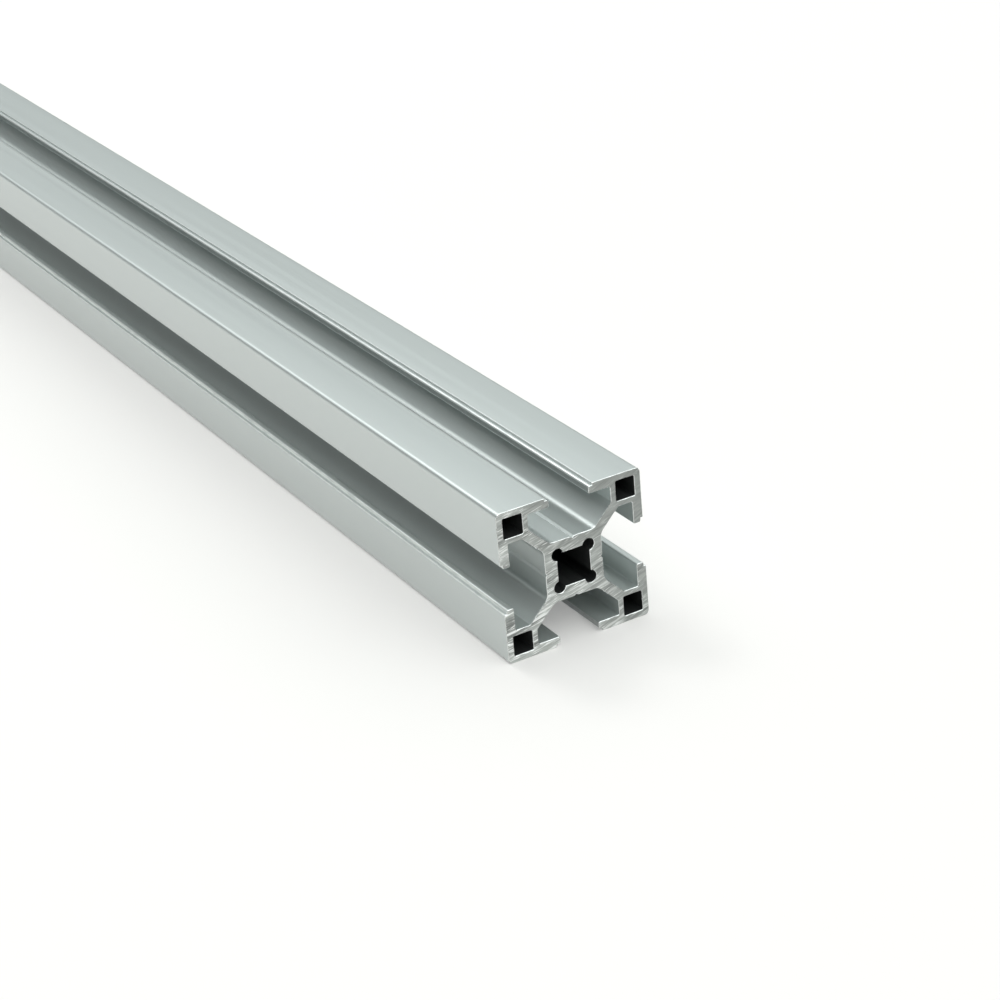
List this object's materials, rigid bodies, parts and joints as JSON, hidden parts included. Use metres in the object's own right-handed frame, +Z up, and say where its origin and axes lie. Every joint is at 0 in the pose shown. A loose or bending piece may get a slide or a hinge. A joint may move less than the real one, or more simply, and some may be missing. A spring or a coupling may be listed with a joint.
{
  "type": "aluminium extrusion profile",
  "caption": "Square aluminium T-slot bar, sawn to length, with undercut slots along its sides, hollow corners and a lobed core hole, for building frames, guards and machine stands.",
  "frame": {"origin": "middle of the underside, halfway along the bar", "axes": "+X along the bar, +Z up out of the top slot, +Y across the bar"},
  "size_m": [0.4, 0.03, 0.03],
  "materials": {
    "anodised_aluminium": "satin natural anodised, with bright sawn ends"
  },
  "bodies": {
    "root": {"profile_bar": "anodised_aluminium"}
  },
  "joints": []
}
